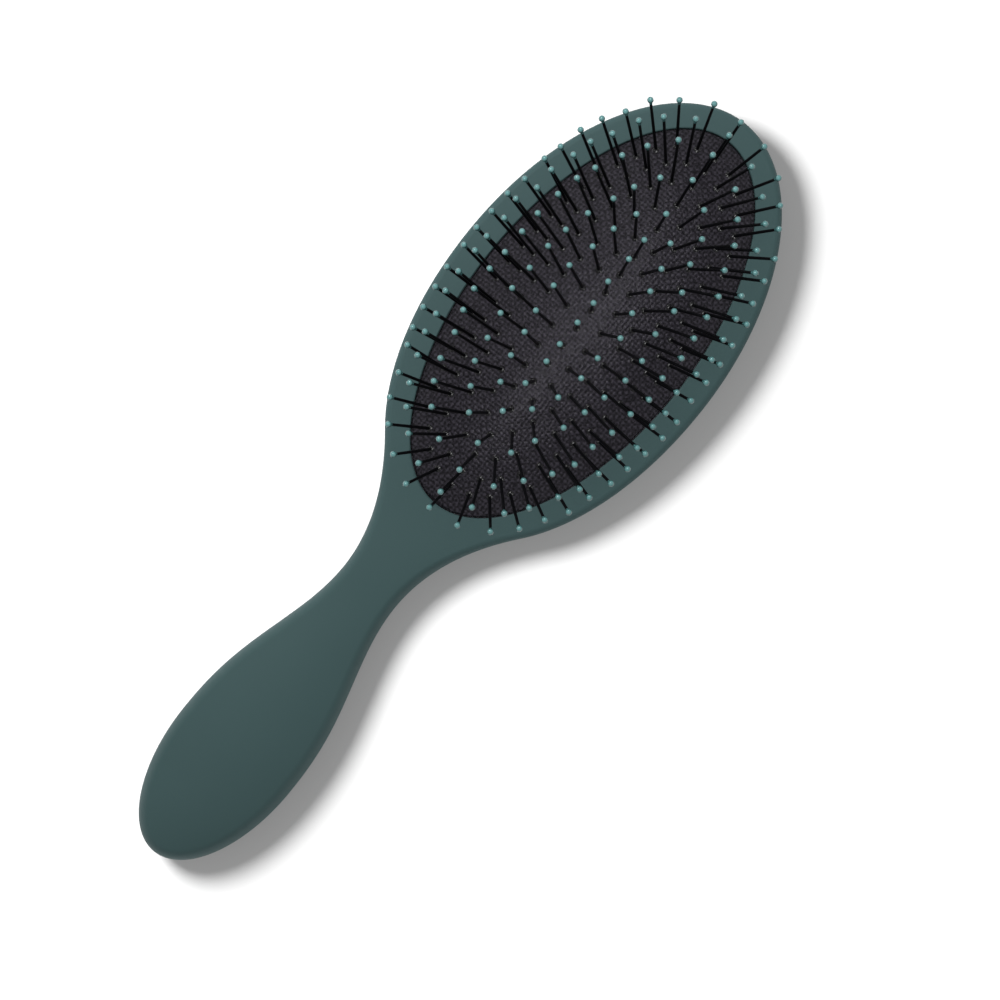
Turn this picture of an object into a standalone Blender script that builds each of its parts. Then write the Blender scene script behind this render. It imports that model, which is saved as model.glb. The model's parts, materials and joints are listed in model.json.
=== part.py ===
"""Oval cushion brush for hair: a moulded paddle handle, a domed air cushion and ball-tipped pins.

Run with: blender --background --python part.py
Lengths are in metres. +X runs from the butt of the handle to the tip of the head, +Z is up, the pins point up,
and the origin is under the middle of the brush on the surface that its back lies on.
"""

import math

import bmesh
import bpy
from mathutils import Vector

# Outline of the handle, seen from above
LENGTH = 0.235
HEAD_SEMI_LENGTH = 0.0638
HEAD_WIDTH = 0.0738
GRIP_WIDTH = 0.0341
GRIP_FROM_BUTT = 0.0329
NECK_WIDTH = 0.0166
FLARE_LENGTH = 0.0333
HEAD_JOIN_SHARE = 0.82
HEAD_NECK_SIDE_POWER = 2.08
TAPER_POWER = 1.2

# Heights of the handle at the grip, the neck and the head
RIM_HEIGHT = 0.013
GRIP_HEIGHT = 0.0140
NECK_HEIGHT = 0.0136
NECK_CLEARANCE = 0.0014
GRIP_WIDEST_SHARE = 0.6
HEAD_WIDEST_SHARE = 0.84

# Roundness of the handle's edges: how far the edge draws in, on the pins' side and on the back
GRIP_TOP_EDGE = 0.0030
NECK_TOP_EDGE = 0.0026
HEAD_TOP_EDGE = 0.0018
GRIP_BACK_EDGE = 0.0060
NECK_BACK_EDGE = 0.0068
HEAD_BACK_EDGE = 0.0090
GRIP_CROWN = 0.0032
NECK_CROWN = 0.0006
HEAD_BACK_CROWN = 0.0016
CROWN_REACH = 0.0085
FLAT_WIDTH_SHARE = 0.36

# Recess in the head: an opening with a lip, a groove for the cushion's flange, and an air chamber
OPENING_SEMI_LENGTH = 0.0581
OPENING_SEMI_WIDTH = 0.0291
OPENING_SETBACK = 0.0008
OPENING_CHAMFER = 0.0004
LIP_THICKNESS = 0.0013
GROOVE_DEPTH = 0.0019
LEDGE_WIDTH = 0.0015
CHAMBER_FLOOR = 0.0045

# Cushion: a domed membrane with a flange that snaps into the groove
SEAT_GAP = 0.0003
MEMBRANE = 0.0015
FLANGE_THICKNESS = 0.0012
CROWN_HEIGHT = 0.0095

# Pins
PIN_LENGTH = 0.0190
PIN_THICKNESS = 0.0010
BALL_RADIUS = 0.00088
HOLE_CLEARANCE = 0.0003
PINS_PER_STRIP = 4
BALL_BELLY_SHARE = 0.78
BALL_CAP_SHARE = 0.39

# Backing strips under the membrane, one for each group of pins
STRIP_WIDTH = 0.0024
STRIP_THICKNESS = 0.0010
STRIP_GAP = 0.0004
STRIP_END_GAP = 0.0005
ROW_STRIP_OVERHANG = 0.0014

# The rings of pins, from the rim inwards: their ovals as shares of the opening's, how square these are, and
# their pins. The row is a straight line of pins along the middle.
RING_LENGTH_SHARES = (0.896, 0.821, 0.731, 0.627, 0.490)
RING_WIDTH_SHARES = (0.815, 0.697, 0.545, 0.385, 0.187)
RING_POWERS = (2.12, 2.05, 1.9, 1.7, 1.9)
RING_PINS = (48, 44, 36, 28, 20)
ROW_LENGTH_SHARE = 0.338
ROW_PINS = 8

# How far the tips of each ring lean outwards at the ends and at the sides of the head, as shares of a pin, and
# how nearly square to the ring they lean, from 0 for straight away from the middle of the head
END_LEAN_SHARES = (0.472, 0.412, 0.337, 0.245, 0.140)
SIDE_LEAN_SHARES = (0.545, 0.557, 0.500, 0.343, 0.240)
FAN_SHARES = (0.90, 0.92, 0.75, 0.35, 0.30)
ROW_LEAN_SHARE = 0.147

# How finely the round forms are divided
BUTT_STEPS = 10
TAPER_STEPS = 10
FLARE_STEPS = 7
HEAD_STEPS = 24
EDGE_STEPS = 5
OVAL_STEPS = 48
ARC_SAMPLES = 720

# Finishes
SOFT_TOUCH = {"color": (0.060, 0.095, 0.094, 1.0), "roughness": 0.62, "metallic": 0.0}
RUBBER = {"color": (0.036, 0.033, 0.040, 1.0), "roughness": 0.75, "metallic": 0.0}
NYLON = {"color": (0.016, 0.017, 0.019, 1.0), "roughness": 0.38, "metallic": 0.0}

# Places and sizes that follow from the ones above
BUTT_X = -LENGTH / 2
GRIP_X = BUTT_X + GRIP_FROM_BUTT
HEAD_X = LENGTH / 2 - HEAD_SEMI_LENGTH
JOIN_X = HEAD_X - HEAD_JOIN_SHARE * HEAD_SEMI_LENGTH
NECK_X = JOIN_X - FLARE_LENGTH
JOIN_HALF_WIDTH = HEAD_WIDTH / 2 * (1 - HEAD_JOIN_SHARE ** HEAD_NECK_SIDE_POWER) ** (1 / HEAD_NECK_SIDE_POWER)
OPENING_X = HEAD_X - OPENING_SETBACK
LIP_BOTTOM = RIM_HEIGHT - LIP_THICKNESS
FLANGE_TOP = LIP_BOTTOM - SEAT_GAP
FLANGE_BOTTOM = FLANGE_TOP - FLANGE_THICKNESS
GROOVE_BOTTOM = FLANGE_BOTTOM - SEAT_GAP
ROW_SEMI_LENGTH = OPENING_SEMI_LENGTH * ROW_LENGTH_SHARE


def plan_rings():
    """Each ring of pins with its oval in real sizes, its name and the lean of its pins."""
    rings = []
    ovals = zip(RING_LENGTH_SHARES, RING_WIDTH_SHARES, RING_POWERS, RING_PINS)
    leans = zip(END_LEAN_SHARES, SIDE_LEAN_SHARES, FAN_SHARES)
    for number, (oval, lean) in enumerate(zip(ovals, leans), 1):
        length_share, width_share, power, pins = oval
        end_share, side_share, fan_share = lean
        rings.append({
            "name": f"ring_{number}",
            "semi_length": OPENING_SEMI_LENGTH * length_share,
            "semi_width": OPENING_SEMI_WIDTH * width_share,
            "power": power,
            "pins": pins,
            "end_lean": PIN_LENGTH * end_share,
            "side_lean": PIN_LENGTH * side_share,
            "fan": fan_share,
        })
    return rings


RINGS = plan_rings()


def clear_scene():
    for item in list(bpy.data.objects):
        bpy.data.objects.remove(item)


def make_material(name, finish):
    """A Principled material with one of the finishes above."""
    material = bpy.data.materials.new(name)
    material.use_nodes = True
    shader = material.node_tree.nodes["Principled BSDF"]
    shader.inputs["Base Color"].default_value = finish["color"]
    shader.inputs["Roughness"].default_value = finish["roughness"]
    shader.inputs["Metallic"].default_value = finish["metallic"]
    material.diffuse_color = finish["color"]
    return material


def make_object(name, form, material, parent=None):
    """Turns a bmesh, built in world places, into a smooth object with its origin at its parent."""
    bmesh.ops.recalc_face_normals(form, faces=form.faces)
    mesh = bpy.data.meshes.new(name)
    form.to_mesh(mesh)
    form.free()
    mesh.materials.append(material)
    item = bpy.data.objects.new(name, mesh)
    bpy.context.scene.collection.objects.link(item)
    if parent is not None:
        item.parent = parent
        for vertex in mesh.vertices:
            vertex.co -= parent.location
    mesh.shade_smooth()
    mesh.set_sharp_from_angle(angle=math.radians(38))
    return item


def make_cutter(name, form):
    """A closed guide body that a Boolean takes away, kept out of the model itself."""
    bmesh.ops.recalc_face_normals(form, faces=form.faces)
    mesh = bpy.data.meshes.new(name)
    form.to_mesh(mesh)
    form.free()
    item = bpy.data.objects.new(name, mesh)
    bpy.context.scene.collection.objects.link(item)
    item.hide_render = True
    item.display_type = "WIRE"
    return item


def cut_away(item, cutter):
    boolean = item.modifiers.new("cut", "BOOLEAN")
    boolean.operation = "DIFFERENCE"
    boolean.solver = "EXACT"
    boolean.object = cutter


def oval_point(semi_length, semi_width, power, angle):
    """A point of an oval round the origin: power 2 is an ellipse, and less draws its shoulders in."""
    across = math.cos(angle)
    up = math.sin(angle)
    x = semi_length * math.copysign(abs(across) ** (2 / power), across)
    y = semi_width * math.copysign(abs(up) ** (2 / power), up)
    return Vector((x, y))


class Oval:
    """An oval round the opening's centre that is read by the share of the way round it."""

    def __init__(self, semi_length, semi_width, power=2.0):
        self.points = []
        for i in range(ARC_SAMPLES + 1):
            self.points.append(oval_point(semi_length, semi_width, power, 2 * math.pi * i / ARC_SAMPLES))
        self.run = [0.0]
        for before, after in zip(self.points, self.points[1:]):
            self.run.append(self.run[-1] + (after - before).length)
        self.around = self.run[-1]

    def at(self, share):
        """The point at that share of the way round, in the head's plane."""
        wanted = (share % 1.0) * self.around
        low, high = 0, ARC_SAMPLES
        while high - low > 1:
            middle = (low + high) // 2
            if self.run[middle] <= wanted:
                low = middle
            else:
                high = middle
        part = (wanted - self.run[low]) / max(self.run[high] - self.run[low], 1e-12)
        return self.points[low].lerp(self.points[high], part)

    def outward(self, share):
        """The direction that points out of the oval at that share of the way round."""
        step = 1 / ARC_SAMPLES
        along = self.at(share + step) - self.at(share - step)
        return Vector((along.y, -along.x)).normalized()


def level_lines():
    """The level lines of the cushion's crown: its edge, the rings of pins and the centre row."""
    lines = [(OPENING_SEMI_LENGTH, OPENING_SEMI_WIDTH, 2.0)]
    for ring in RINGS:
        lines.append((ring["semi_length"], ring["semi_width"], ring["power"]))
    lines.append((ROW_SEMI_LENGTH, 0.0, RINGS[-1]["power"]))
    return lines


def crown_share(semi_width):
    """Height of the crown on the level line of that half width, as a share of its full height."""
    return 1 - (semi_width / OPENING_SEMI_WIDTH) ** 2


def crown_loops():
    """The lines that the membrane is built on: halfway between the rings, so that no hole lies on a fold."""
    rings = level_lines()[1:]
    loops = [blend_lines(outer, inner, 0.5) for outer, inner in zip(rings, rings[1:])]
    return loops + [rings[-1]]


def inside_line(x, y, line):
    semi_length, semi_width, power = line
    reach = (abs(x) / semi_length) ** power + (abs(y) / max(semi_width, SEAT_GAP)) ** power
    return reach <= 1


def blend_lines(outer, inner, share):
    return tuple(a + (b - a) * share for a, b in zip(outer, inner))


def crown_height(x, y):
    """Height of the cushion's outer face over a point of the head, found between its level lines."""
    lines = level_lines()
    if not inside_line(x, y, lines[0]):
        return RIM_HEIGHT
    for outer, inner in zip(lines, lines[1:]):
        if inside_line(x, y, inner):
            continue
        low, high = 0.0, 1.0
        for _ in range(30):
            middle = (low + high) / 2
            if inside_line(x, y, blend_lines(outer, inner, middle)):
                low = middle
            else:
                high = middle
        return RIM_HEIGHT + CROWN_HEIGHT * crown_share(blend_lines(outer, inner, low)[1])
    return RIM_HEIGHT + CROWN_HEIGHT


def smooth_step(share):
    share = min(max(share, 0.0), 1.0)
    return share * share * (3 - 2 * share)


def along_handle(x, grip, neck, head):
    """A size that changes smoothly from the grip to the neck and on to the head."""
    if x < NECK_X:
        return grip + (neck - grip) * smooth_step((x - GRIP_X) / (NECK_X - GRIP_X))
    return neck + (head - neck) * smooth_step((x - NECK_X) / (JOIN_X - NECK_X))


def half_outline():
    """One side of the handle's outline, from the butt to the tip of the head."""
    points = []
    for i in range(BUTT_STEPS):
        angle = math.pi * (1 - i / BUTT_STEPS / 2)
        points.append(Vector((GRIP_X + GRIP_FROM_BUTT * math.cos(angle), GRIP_WIDTH / 2 * math.sin(angle))))
    for i in range(TAPER_STEPS):
        share = i / TAPER_STEPS
        width = (1 + math.cos(math.pi * share ** TAPER_POWER)) / 2
        half = NECK_WIDTH / 2 + (GRIP_WIDTH - NECK_WIDTH) / 2 * width
        points.append(Vector((GRIP_X + (NECK_X - GRIP_X) * share, half)))
    for i in range(FLARE_STEPS):
        share = i / FLARE_STEPS
        half = NECK_WIDTH / 2 + (JOIN_HALF_WIDTH - NECK_WIDTH / 2) * share ** 2
        points.append(Vector((NECK_X + (JOIN_X - NECK_X) * share, half)))
    start = math.acos(-HEAD_JOIN_SHARE ** (HEAD_NECK_SIDE_POWER / 2))
    for i in range(HEAD_STEPS + 1):
        angle = start * (1 - i / HEAD_STEPS)
        power = HEAD_NECK_SIDE_POWER if angle > math.pi / 2 else 2.0
        points.append(Vector((HEAD_X, 0.0)) + oval_point(HEAD_SEMI_LENGTH, HEAD_WIDTH / 2, power, angle))
    return points


def outward_directions(points):
    directions = [Vector((-1, 0))]
    for before, after in zip(points, points[2:]):
        along = after - before
        directions.append(Vector((-along.y, along.x)).normalized())
    directions.append(Vector((1, 0)))
    return directions


def handle_loop(points, directions, top_side, turn):
    """A closed loop round the handle, at an angle of turn from its widest line towards its top or back."""
    side = []
    for point, outward in zip(points, directions):
        top = along_handle(point.x, GRIP_HEIGHT, NECK_HEIGHT, RIM_HEIGHT)
        middle = top * along_handle(point.x, GRIP_WIDEST_SHARE, GRIP_WIDEST_SHARE, HEAD_WIDEST_SHARE)
        if top_side:
            edge = along_handle(point.x, GRIP_TOP_EDGE, NECK_TOP_EDGE, HEAD_TOP_EDGE)
            limit = top
        else:
            edge = along_handle(point.x, GRIP_BACK_EDGE, NECK_BACK_EDGE, HEAD_BACK_EDGE)
            limit = along_handle(point.x, GRIP_CROWN, NECK_CLEARANCE + NECK_CROWN, HEAD_BACK_CROWN)
        place = point - outward * edge * (1 - math.cos(turn))
        side.append((place.x, max(place.y, 0.0), middle + (limit - middle) * math.sin(turn)))
    other = [(x, -y, z) for x, y, z in reversed(side[1:-1])]
    return side + other


def bridge(form, first, second):
    for i in range(len(first)):
        after = (i + 1) % len(first)
        form.faces.new((first[i], first[after], second[after], second[i]))


def close_across(form, loop, count, rise):
    """Closes a loop of the handle with a face across it, which swells by rise where the handle is wide."""
    columns = [[loop[i] for i in range(count)]]
    for share in (FLAT_WIDTH_SHARE, -FLAT_WIDTH_SHARE):
        column = []
        for i in range(count):
            x, y, z = loop[i].co
            if i in (0, count - 1):
                column.append(loop[i])
            else:
                swell = rise(x) * smooth_step(abs(y) / CROWN_REACH)
                column.append(form.verts.new((x, y * share, z + swell)))
        columns.append(column)
    columns.append([loop[0]] + [loop[-i] for i in range(1, count - 1)] + [loop[count - 1]])
    for left, right in zip(columns, columns[1:]):
        for i in range(count - 1):
            corners = []
            for vertex in (left[i], left[i + 1], right[i + 1], right[i]):
                if vertex not in corners:
                    corners.append(vertex)
            form.faces.new(corners)


def recess_cutter():
    """The space that the head keeps free: opening, lip, groove and air chamber."""
    levels = (
        (OPENING_CHAMFER, RIM_HEIGHT + LIP_THICKNESS),
        (OPENING_CHAMFER, RIM_HEIGHT),
        (0.0, RIM_HEIGHT - OPENING_CHAMFER),
        (0.0, LIP_BOTTOM),
        (GROOVE_DEPTH, LIP_BOTTOM),
        (GROOVE_DEPTH, GROOVE_BOTTOM),
        (-LEDGE_WIDTH, GROOVE_BOTTOM),
        (-LEDGE_WIDTH, CHAMBER_FLOOR),
    )
    form = bmesh.new()
    loops = []
    for outset, height in levels:
        loops.append(oval_loop(form, OPENING_SEMI_LENGTH + outset, OPENING_SEMI_WIDTH + outset, 2.0, height))
    for first, second in zip(loops, loops[1:]):
        bridge(form, first, second)
    form.faces.new(loops[0])
    form.faces.new(loops[-1])
    return make_cutter("recess_cutter", form)


def oval_loop(form, semi_length, semi_width, power, height):
    oval = Oval(semi_length, semi_width, power)
    loop = []
    for i in range(OVAL_STEPS):
        point = oval.at(i / OVAL_STEPS)
        loop.append(form.verts.new((OPENING_X + point.x, point.y, height)))
    return loop


def build_handle():
    """The moulded handle: rounded loops from its widest line to its top and back, then the recess."""
    form = bmesh.new()
    points = half_outline()
    directions = outward_directions(points)
    turns = [math.pi / 2 * i / EDGE_STEPS for i in range(EDGE_STEPS + 1)]
    loops = []
    for turn in reversed(turns):
        loops.append([form.verts.new(place) for place in handle_loop(points, directions, True, turn)])
    for turn in turns[1:]:
        loops.append([form.verts.new(place) for place in handle_loop(points, directions, False, turn)])
    for first, second in zip(loops, loops[1:]):
        bridge(form, first, second)
    close_across(form, loops[0], len(points), lambda x: along_handle(x, GRIP_CROWN, NECK_CROWN, 0.0))
    close_across(form, loops[-1], len(points), lambda x: -along_handle(x, GRIP_CROWN, NECK_CROWN, HEAD_BACK_CROWN))
    handle = make_object("handle_body", form, make_material("soft_touch", SOFT_TOUCH))
    cut_away(handle, recess_cutter())
    return handle


def pin_frame(point, lean, level):
    """The foot of a pin on the cushion's face, its direction, and two directions across it."""
    foot = Vector((OPENING_X + point.x, point.y, level))
    rise = math.sqrt(PIN_LENGTH ** 2 - lean.length_squared)
    direction = Vector((lean.x, lean.y, rise)).normalized()
    along = Vector((0, 1, 0)).cross(direction).normalized()
    return foot, direction, along, direction.cross(along)


def square_ring(form, centre, along, across, half):
    ring = []
    for i, j in ((1, 1), (-1, 1), (-1, -1), (1, -1)):
        ring.append(form.verts.new(centre + along * half * i + across * half * j))
    return ring


def strip_height(x, y):
    """Top of a backing strip, which follows the crown just under the membrane."""
    return crown_height(x - OPENING_X, y) - MEMBRANE - STRIP_GAP


def pin_root(foot, direction):
    """Where a pin's line meets the top of its backing strip."""
    root = foot - direction * (MEMBRANE + STRIP_GAP)
    for _ in range(4):
        miss = root.z - strip_height(root.x, root.y)
        root = root - direction * (miss / direction.z)
    return root


def grow_pin(form, frame, corners):
    """One pin on its cell of the strip: a four-sided shank that swells into a ball at the tip."""
    foot, direction, along, across = frame
    root = pin_root(foot, direction)
    base = []
    for i, j in ((1, 1), (-1, 1), (-1, -1), (1, -1)):
        place = root + (along * i + across * j) * (PIN_THICKNESS / 2)
        base.append(form.verts.new((place.x, place.y, strip_height(place.x, place.y))))
    for i in range(4):
        after = (i + 1) % 4
        form.faces.new((corners[i], corners[after], base[after], base[i]))
    tip = foot + direction * PIN_LENGTH
    centre = tip - direction * BALL_RADIUS
    sections = (
        (centre - direction * BALL_RADIUS, PIN_THICKNESS / 2),
        (centre, BALL_RADIUS * BALL_BELLY_SHARE),
        (tip, BALL_RADIUS * BALL_CAP_SHARE),
    )
    last = base
    for place, half in sections:
        ring = square_ring(form, place, along, across, half)
        bridge(form, last, ring)
        last = ring
    form.faces.new(last)


def strip_edges(form, place, across):
    """The inner and outer top corners of a strip at a place, and the bottom corners under them."""
    corners = []
    for side in (1, -1):
        x = place.x + across.x * side * STRIP_WIDTH / 2
        y = place.y + across.y * side * STRIP_WIDTH / 2
        top = strip_height(x, y)
        corners.append((form.verts.new((x, y, top)), form.verts.new((x, y, top - STRIP_THICKNESS))))
    return corners


def build_strip(name, feet, cuts, material, parent):
    """A backing strip with its pins. Feet are the pins' frames, and cuts the strip's places between them."""
    form = bmesh.new()
    rungs = [strip_edges(form, place, across) for place, across in cuts]
    for frame, before, after in zip(feet, rungs, rungs[1:]):
        (outer_a, outer_a_low), (inner_a, inner_a_low) = before
        (outer_b, outer_b_low), (inner_b, inner_b_low) = after
        grow_pin(form, frame, ordered_corners(frame, (outer_a, outer_b, inner_b, inner_a)))
        form.faces.new((outer_a_low, outer_b_low, inner_b_low, inner_a_low))
        form.faces.new((outer_a, outer_b, outer_b_low, outer_a_low))
        form.faces.new((inner_a, inner_b, inner_b_low, inner_a_low))
    for rung in (rungs[0], rungs[-1]):
        (outer, outer_low), (inner, inner_low) = rung
        form.faces.new((outer, inner, inner_low, outer_low))
    return make_object(name, form, material, parent)


def ordered_corners(frame, corners):
    """Starts the cell's corners at the one next to the pin's own first corner, going round the same way."""
    foot, direction, along, across = frame
    root = pin_root(foot, direction)

    def bearing(vertex):
        reach = vertex.co - root
        return math.atan2(reach.dot(across), reach.dot(along)) % (2 * math.pi)

    return sorted(corners, key=bearing)


def ring_place(ring, oval, share):
    """A pin's foot on its ring and how far its tip leans, at that share of the way round."""
    point = oval.at(share)
    away = Vector((point.x / ring["semi_length"], point.y / ring["semi_width"])).normalized()
    way = away.lerp(oval.outward(share), ring["fan"]).normalized()
    lean = way * (ring["end_lean"] * way.x ** 2 + ring["side_lean"] * way.y ** 2)
    return point, lean, RIM_HEIGHT + CROWN_HEIGHT * crown_share(ring["semi_width"])


def build_ring(ring, material, parent):
    """The strips of one ring of pins. They share a level, so the ring rises and sinks as one."""
    oval = Oval(ring["semi_length"], ring["semi_width"], ring["power"])
    pitch = 1 / ring["pins"]
    end_gap = STRIP_END_GAP / 2 / oval.around
    for group in range(ring["pins"] // PINS_PER_STRIP):
        first = group * PINS_PER_STRIP
        feet = []
        for i in range(PINS_PER_STRIP):
            feet.append(pin_frame(*ring_place(ring, oval, (first + i) * pitch)))
        cuts = []
        for i in range(PINS_PER_STRIP + 1):
            share = (first + i - 0.5) * pitch
            if i == 0:
                share += end_gap
            if i == PINS_PER_STRIP:
                share -= end_gap
            foot, direction, _, _ = pin_frame(*ring_place(ring, oval, share))
            cuts.append((pin_root(foot, direction), oval.outward(share)))
        build_strip(f"pins_{ring['name']}_{group + 1:02d}", feet, cuts, material, parent)


def row_frame(place):
    lean = Vector((PIN_LENGTH * ROW_LEAN_SHARE * place / ROW_SEMI_LENGTH, 0.0))
    return pin_frame(Vector((place, 0.0)), lean, RIM_HEIGHT + CROWN_HEIGHT)


def build_row(material, parent):
    """The straight row of pins along the middle of the cushion."""
    pitch = 2 * ROW_SEMI_LENGTH / (ROW_PINS - 1)
    for group in range(ROW_PINS // PINS_PER_STRIP):
        first = group * PINS_PER_STRIP
        feet = [row_frame(ROW_SEMI_LENGTH - (first + i) * pitch) for i in range(PINS_PER_STRIP)]
        cuts = []
        for i in range(PINS_PER_STRIP + 1):
            place = ROW_SEMI_LENGTH - (first + i - 0.5) * pitch
            if i == 0:
                place -= STRIP_END_GAP / 2
            if i == PINS_PER_STRIP:
                place += STRIP_END_GAP / 2
            limit = ROW_SEMI_LENGTH + ROW_STRIP_OVERHANG
            place = min(max(place, -limit), limit)
            foot, direction, _, _ = row_frame(place)
            cuts.append((pin_root(foot, direction), Vector((0, 1))))
        build_strip(f"pins_centre_row_{group + 1:02d}", feet, cuts, material, parent)


def all_pin_frames():
    frames = []
    for ring in RINGS:
        oval = Oval(ring["semi_length"], ring["semi_width"], ring["power"])
        for i in range(ring["pins"]):
            frames.append(pin_frame(*ring_place(ring, oval, i / ring["pins"])))
    for i in range(ROW_PINS):
        frames.append(row_frame(ROW_SEMI_LENGTH - 2 * ROW_SEMI_LENGTH * i / (ROW_PINS - 1)))
    return frames


def hole_cutter():
    """One leaning prism for each pin, with a running clearance round it."""
    form = bmesh.new()
    half = PIN_THICKNESS / 2 + HOLE_CLEARANCE
    for foot, direction, along, across in all_pin_frames():
        lower = square_ring(form, foot - direction * MEMBRANE * 2, along, across, half)
        upper = square_ring(form, foot + direction * MEMBRANE, along, across, half)
        bridge(form, lower, upper)
        form.faces.new(lower)
        form.faces.new(upper)
    return make_cutter("pin_hole_cutter", form)


def build_cushion():
    """The domed membrane: its crown runs through the rings' level lines, and its flange sits in the groove."""
    form = bmesh.new()
    edge_length = OPENING_SEMI_LENGTH - SEAT_GAP
    edge_width = OPENING_SEMI_WIDTH - SEAT_GAP
    flange_length = OPENING_SEMI_LENGTH + GROOVE_DEPTH - SEAT_GAP
    flange_width = OPENING_SEMI_WIDTH + GROOVE_DEPTH - SEAT_GAP
    inner_length = edge_length - MEMBRANE
    inner_width = edge_width - MEMBRANE
    loops = [
        oval_loop(form, flange_length, flange_width, 2.0, FLANGE_BOTTOM),
        oval_loop(form, flange_length, flange_width, 2.0, FLANGE_TOP),
        oval_loop(form, edge_length, edge_width, 2.0, FLANGE_TOP),
        oval_loop(form, edge_length, edge_width, 2.0, RIM_HEIGHT - SEAT_GAP),
    ]
    crown = crown_loops()
    for semi_length, semi_width, power in crown:
        height = RIM_HEIGHT + CROWN_HEIGHT * crown_share(semi_width)
        loops.append(oval_loop(form, semi_length, semi_width, power, height))
    for semi_length, semi_width, power in reversed(crown):
        height = RIM_HEIGHT + CROWN_HEIGHT * crown_share(semi_width) - MEMBRANE
        loops.append(oval_loop(form, semi_length, semi_width, power, height))
    inner_height = RIM_HEIGHT + CROWN_HEIGHT * crown_share(inner_width) - MEMBRANE
    loops.append(oval_loop(form, inner_length, inner_width, 2.0, inner_height))
    loops.append(oval_loop(form, inner_length, inner_width, 2.0, FLANGE_BOTTOM))
    middle = 4 + len(crown)
    for i in range(len(loops)):
        if i + 1 != middle:
            bridge(form, loops[i], loops[(i + 1) % len(loops)])
    bmesh.ops.remove_doubles(form, verts=form.verts, dist=SEAT_GAP / 100)
    cushion = make_object("cushion", form, make_material("cushion_rubber", RUBBER))
    cut_away(cushion, hole_cutter())
    return cushion


def press_axis(name):
    """An empty on the line along which a ring of pins sinks when the cushion is pressed."""
    axis = bpy.data.objects.new(f"{name}_axis", None)
    axis.location = (OPENING_X, 0.0, RIM_HEIGHT)
    bpy.context.scene.collection.objects.link(axis)
    return axis


def build_brush():
    clear_scene()
    build_handle()
    build_cushion()
    nylon = make_material("pin_nylon", NYLON)
    for ring in RINGS:
        build_ring(ring, nylon, press_axis(ring["name"]))
    build_row(nylon, press_axis("centre_row"))
    bpy.context.view_layer.update()


build_brush()
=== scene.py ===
"""Looks of an oval cushion brush for hair: soft-touch handle, domed rubber cushion, ball-tipped nylon pins.

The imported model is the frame. Each piece takes its place from it and rides on one of its bodies.
Lengths are in metres. +X runs from the butt of the handle to the tip of the head, and the pins point up, +Z.
"""

import json
import math
import random

import bmesh
import bpy
from bpy.props import FloatProperty, FloatVectorProperty, PointerProperty
from mathutils import Matrix, Vector

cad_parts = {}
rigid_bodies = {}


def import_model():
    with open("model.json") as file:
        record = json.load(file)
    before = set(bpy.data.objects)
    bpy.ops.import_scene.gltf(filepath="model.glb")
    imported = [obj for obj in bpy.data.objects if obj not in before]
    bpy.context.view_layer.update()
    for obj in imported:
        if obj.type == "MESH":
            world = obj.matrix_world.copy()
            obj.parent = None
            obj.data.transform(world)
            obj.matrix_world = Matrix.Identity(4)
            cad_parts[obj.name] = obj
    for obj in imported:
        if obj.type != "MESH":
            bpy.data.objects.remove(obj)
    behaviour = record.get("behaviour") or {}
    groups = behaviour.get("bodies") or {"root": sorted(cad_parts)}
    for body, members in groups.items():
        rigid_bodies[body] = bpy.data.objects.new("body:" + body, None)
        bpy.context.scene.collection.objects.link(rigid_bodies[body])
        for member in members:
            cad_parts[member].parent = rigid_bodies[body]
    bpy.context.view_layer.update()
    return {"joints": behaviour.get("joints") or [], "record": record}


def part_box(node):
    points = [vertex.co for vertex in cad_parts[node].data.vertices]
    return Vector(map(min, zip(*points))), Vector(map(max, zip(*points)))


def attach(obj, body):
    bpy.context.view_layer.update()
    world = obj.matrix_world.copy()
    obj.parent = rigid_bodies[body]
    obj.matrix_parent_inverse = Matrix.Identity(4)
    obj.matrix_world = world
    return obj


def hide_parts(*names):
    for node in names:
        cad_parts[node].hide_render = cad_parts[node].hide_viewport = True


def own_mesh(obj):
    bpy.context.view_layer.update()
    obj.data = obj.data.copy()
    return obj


bl_info = {
    "name": "Oval cushion brush",
    "version": (1, 0, 0),
    "blender": (4, 5, 0),
    "location": "3D View > Sidebar > Hair brush",
    "description": "Builds the handle, cushion, pins and stage of a cushion brush round its packed model",
    "category": "Add Mesh",
}

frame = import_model()

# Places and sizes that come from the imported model
BODIES = frame["record"]["behaviour"]["bodies"]
PRESS = next(joint for joint in frame["joints"] if joint["name"] == "cushion_press")
PRESS_TRAVEL = max(PRESS["range_m"])
HANDLE_LOW, HANDLE_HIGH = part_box("handle_body")
CUSHION_LOW, CUSHION_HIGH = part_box("cushion")
OPENING = Vector(PRESS["pos_m"])
RIM_HEIGHT = OPENING.z
CROWN_HEIGHT = CUSHION_HIGH.z - RIM_HEIGHT
BUTT_X = HANDLE_LOW.x
HEAD_SEMI_WIDTH = HANDLE_HIGH.y

# Outline and heights of the handle between its grip, neck and head
HEAD_SEMI_LENGTH = 0.0638
GRIP_FROM_BUTT = 0.0329
FLARE_LENGTH = 0.0333
HEAD_JOIN_SHARE = 0.82
HEAD_NECK_SIDE_POWER = 2.08
TAPER_POWER = 1.2
GRIP_HEIGHT = 0.0140
NECK_HEIGHT = 0.0136
NECK_CLEARANCE = 0.0014
GRIP_WIDEST_SHARE = 0.6
HEAD_WIDEST_SHARE = 0.84
GRIP_X = BUTT_X + GRIP_FROM_BUTT
HEAD_X = HANDLE_HIGH.x - HEAD_SEMI_LENGTH
JOIN_X = HEAD_X - HEAD_JOIN_SHARE * HEAD_SEMI_LENGTH
JOIN_HALF_WIDTH = HEAD_SEMI_WIDTH * (
    1 - HEAD_JOIN_SHARE ** HEAD_NECK_SIDE_POWER) ** (1 / HEAD_NECK_SIDE_POWER)
NECK_X = JOIN_X - FLARE_LENGTH

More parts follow.
